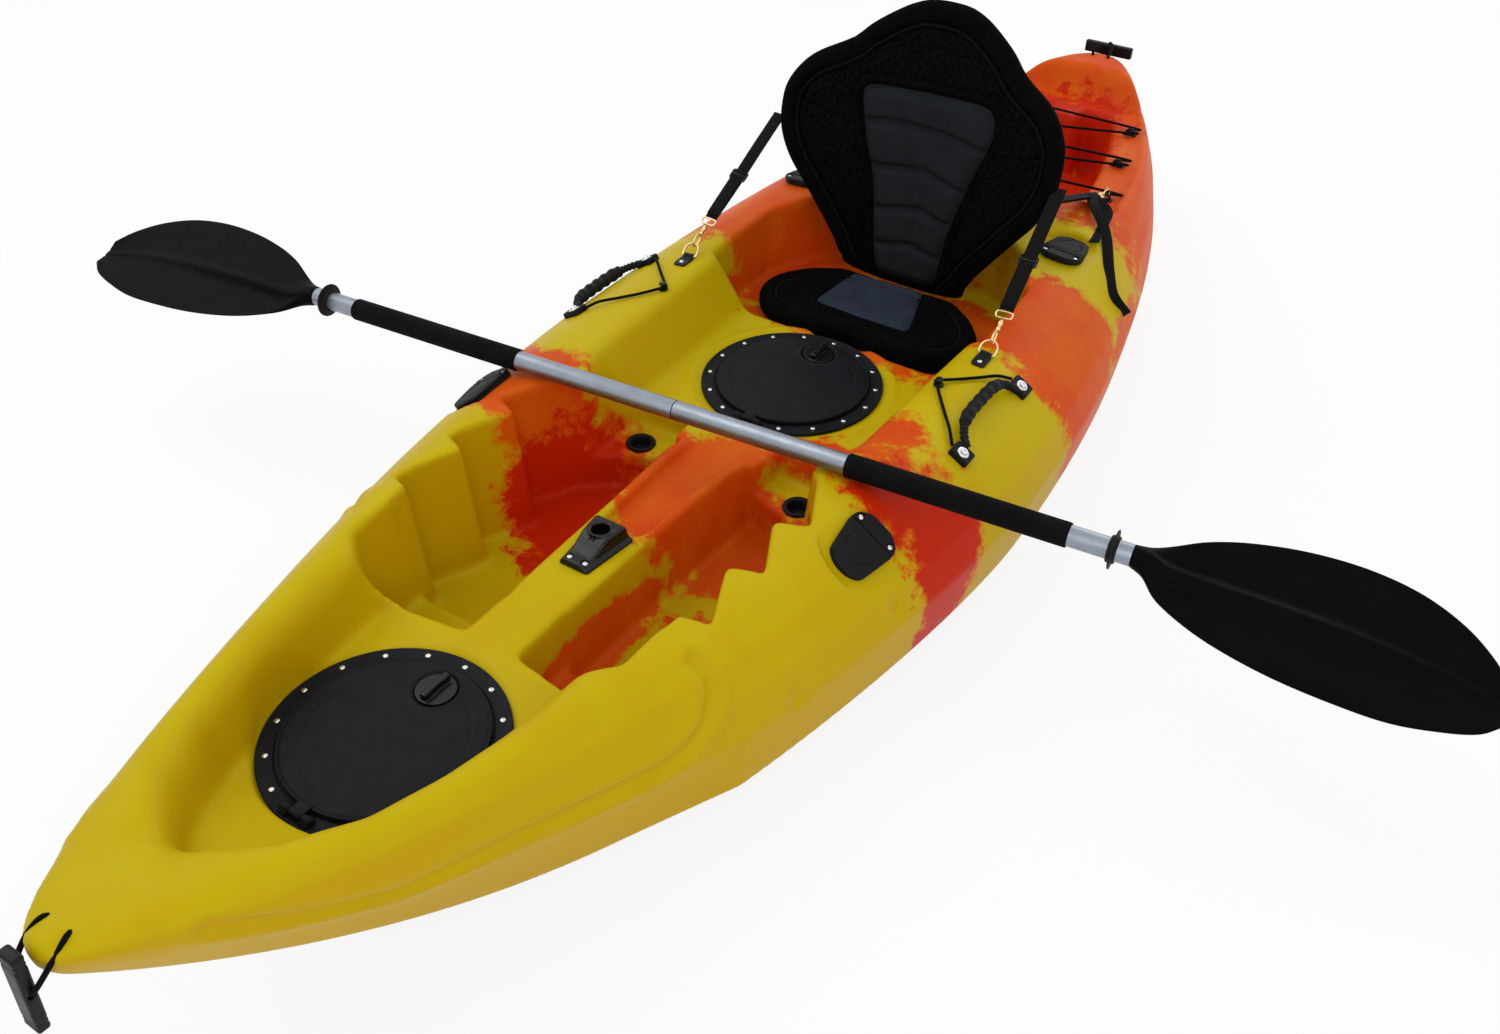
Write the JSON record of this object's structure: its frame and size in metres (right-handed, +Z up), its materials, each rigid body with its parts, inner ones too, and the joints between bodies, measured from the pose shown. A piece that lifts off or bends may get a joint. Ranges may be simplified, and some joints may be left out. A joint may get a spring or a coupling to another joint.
{
  "type": "sit-on-top fishing kayak",
  "caption": "Short sit-on-top fishing kayak with hinged hatches, flush rod holders, a folding seat and a two-piece paddle.",
  "frame": {"origin": "on the flat of the hull's bottom, at the middle of its width", "axes": "+Z up, the bow along -Y and port along +X"},
  "size_m": [2.2595, 2.792, 0.6846],
  "materials": {
    "hull": "rotomoulded polyethylene, marbled yellow and orange-red",
    "black_plastic": "moulded black plastic",
    "rubber": "soft black rubber",
    "fabric": "black woven and mesh cloth over foam",
    "cord": "black braided shock cord and rope",
    "aluminium": "satin tube with black foam grips",
    "brass": "plated snap hooks and rings"
  },
  "bodies": {
    "hull": {"carry_handle_pad_bow_port": "black_plastic", "carry_handle_pad_bow_starboard": "black_plastic", "carry_handle_pad_stern_port": "black_plastic", "carry_handle_pad_stern_starboard": "black_plastic", "centre_hatch_ring": "black_plastic", "d_ring_port": "brass", "d_ring_starboard": "brass", "d_ring_tab_port": "black_plastic", "d_ring_tab_starboard": "black_plastic", "front_hatch_ring": "black_plastic", "front_rod_holder_port": "black_plastic", "front_rod_holder_starboard": "black_plastic", "front_seat_strap_port": "fabric", "front_seat_strap_starboard": "fabric", "front_snap_hook_port": "brass", "front_snap_hook_starboard": "brass", "hull": "hull", "pad_eye_1_port": "black_plastic", "pad_eye_1_starboard": "black_plastic", "pad_eye_2_port": "black_plastic", "pad_eye_2_starboard": "black_plastic", "pad_eye_3_port": "black_plastic", "pad_eye_3_starboard": "black_plastic", "paddle_keeper_hook_port": "black_plastic", "paddle_keeper_hook_starboard": "black_plastic", "paddle_keeper_port": "cord", "paddle_keeper_starboard": "cord", "rear_rod_holder_port": "black_plastic", "rear_rod_holder_starboard": "black_plastic", "rear_seat_strap_port": "fabric", "rear_seat_strap_starboard": "fabric", "rear_snap_hook_port": "brass", "rear_snap_hook_starboard": "brass", "seat_pad": "fabric", "swivel_rod_base": "black_plastic", "tank_well_bungee": "cord"},
    "front_lid": {"front_hatch_lid": "black_plastic"},
    "front_knob": {"front_hatch_knob": "black_plastic"},
    "centre_lid": {"centre_hatch_lid": "black_plastic"},
    "centre_knob": {"centre_hatch_knob": "black_plastic"},
    "seat_back": {"seat_back": "fabric"},
    "bow_toggle": {"bow_toggle": "black_plastic", "bow_toggle_cord": "cord"},
    "stern_toggle": {"stern_toggle": "black_plastic", "stern_toggle_cord": "cord"},
    "paddle": {"paddle_shaft_starboard": "aluminium", "paddle_blade_starboard": "black_plastic"},
    "paddle_port_half": {"paddle_shaft_port": "aluminium", "paddle_blade_port": "black_plastic"},
    "port_handle": {"carry_handle_grip_port": "rubber"},
    "port_scupper_plug": {"scupper_plug_port": "rubber"},
    "port_drip_ring": {"drip_ring_port": "rubber"},
    "front_port_cap": {"front_rod_holder_cap_port": "rubber"},
    "rear_port_cap": {"rear_rod_holder_cap_port": "rubber"},
    "starboard_handle": {"carry_handle_grip_starboard": "rubber"},
    "starboard_scupper_plug": {"scupper_plug_starboard": "rubber"},
    "starboard_drip_ring": {"drip_ring_starboard": "rubber"},
    "front_starboard_cap": {"front_rod_holder_cap_starboard": "rubber"},
    "rear_starboard_cap": {"rear_rod_holder_cap_starboard": "rubber"}
  },
  "joints": [
    {"name": "front_lid_hinge", "type": "hinge", "parent": "hull", "child": "front_lid", "pos_m": [0, -1.0895, 0.2042], "axis": [1, 0, 0], "range_deg": [0, 90]},
    {"name": "front_knob_turn", "type": "hinge", "parent": "front_lid", "child": "front_knob", "pos_m": [0, -0.862, 0.21], "axis": [0, 0, 1], "range_deg": [0, 90]},
    {"name": "centre_lid_hinge", "type": "hinge", "parent": "hull", "child": "centre_lid", "pos_m": [0, -0.1495, 0.1992], "axis": [1, 0, 0], "range_deg": [0, 100]},
    {"name": "centre_knob_turn", "type": "hinge", "parent": "centre_lid", "child": "centre_knob", "pos_m": [0, 0.078, 0.205], "axis": [0, 0, 1], "range_deg": [0, 90]},
    {"name": "seat_back_fold", "type": "hinge", "parent": "hull", "child": "seat_back", "pos_m": [0, 0.36742, 0.1986], "axis": [1, 0, 0], "range_deg": [0, 60]},
    {"name": "bow_toggle_swing", "type": "hinge", "parent": "hull", "child": "bow_toggle", "pos_m": [0, -1.348, 0.30584], "axis": [-1, 0, 0], "range_deg": [0, 100]},
    {"name": "stern_toggle_swing", "type": "hinge", "parent": "hull", "child": "stern_toggle", "pos_m": [0, 1.318, 0.31643], "axis": [1, 0, 0], "range_deg": [0, 100]},
    {"name": "paddle_lift", "type": "slide", "parent": "hull", "child": "paddle", "axis": [0, 0, 1], "range_m": [0, 0.3]},
    {"name": "paddle_feather", "type": "hinge", "parent": "paddle", "child": "paddle_port_half", "pos_m": [-0.017, -0.32, 0.30706], "axis": [0.9958, 0.0917, 0], "range_deg": [-60, 60]},
    {"name": "port_handle_swing", "type": "hinge", "parent": "hull", "child": "port_handle", "pos_m": [0.36259, -0.02409, 0.26781], "axis": [0.0064, 0.9999, 0.0107], "range_deg": [0, 155]},
    {"name": "starboard_handle_swing", "type": "hinge", "parent": "hull", "child": "starboard_handle", "pos_m": [-0.36259, -0.02409, 0.26781], "axis": [-0.0064, 0.9999, 0.0107], "range_deg": [0, 155]},
    {"name": "port_plug_lift", "type": "slide", "parent": "hull", "child": "port_scupper_plug", "axis": [0, 0, 1], "range_m": [0, 0.06]},
    {"name": "port_drip_ring_slide", "type": "slide", "parent": "paddle_port_half", "child": "port_drip_ring", "axis": [0.9958, 0.0917, 0], "range_m": [-0.05, 0.018]},
    {"name": "front_port_cap_hinge", "type": "hinge", "parent": "hull", "child": "front_port_cap", "pos_m": [0.34298, -0.36768, 0.26844], "axis": [-0.8302, 0, 0.5574], "range_deg": [0, 100]},
    {"name": "rear_port_cap_hinge", "type": "hinge", "parent": "hull", "child": "rear_port_cap", "pos_m": [0.26648, 0.46668, 0.30562], "axis": [0.9978, 0, -0.0668], "range_deg": [0, 100]},
    {"name": "starboard_plug_lift", "type": "slide", "parent": "hull", "child": "starboard_scupper_plug", "axis": [0, 0, 1], "range_m": [0, 0.06]},
    {"name": "starboard_drip_ring_slide", "type": "slide", "parent": "paddle", "child": "starboard_drip_ring", "axis": [-0.9958, -0.0917, 0], "range_m": [-0.05, 0.018]},
    {"name": "front_starboard_cap_hinge", "type": "hinge", "parent": "hull", "child": "front_starboard_cap", "pos_m": [-0.34298, -0.36768, 0.26844], "axis": [-0.8302, 0, -0.5574], "range_deg": [0, 90]},
    {"name": "rear_starboard_cap_hinge", "type": "hinge", "parent": "hull", "child": "rear_starboard_cap", "pos_m": [-0.26648, 0.46668, 0.30562], "axis": [0.9978, 0, 0.0668], "range_deg": [0, 100]}
  ]
}
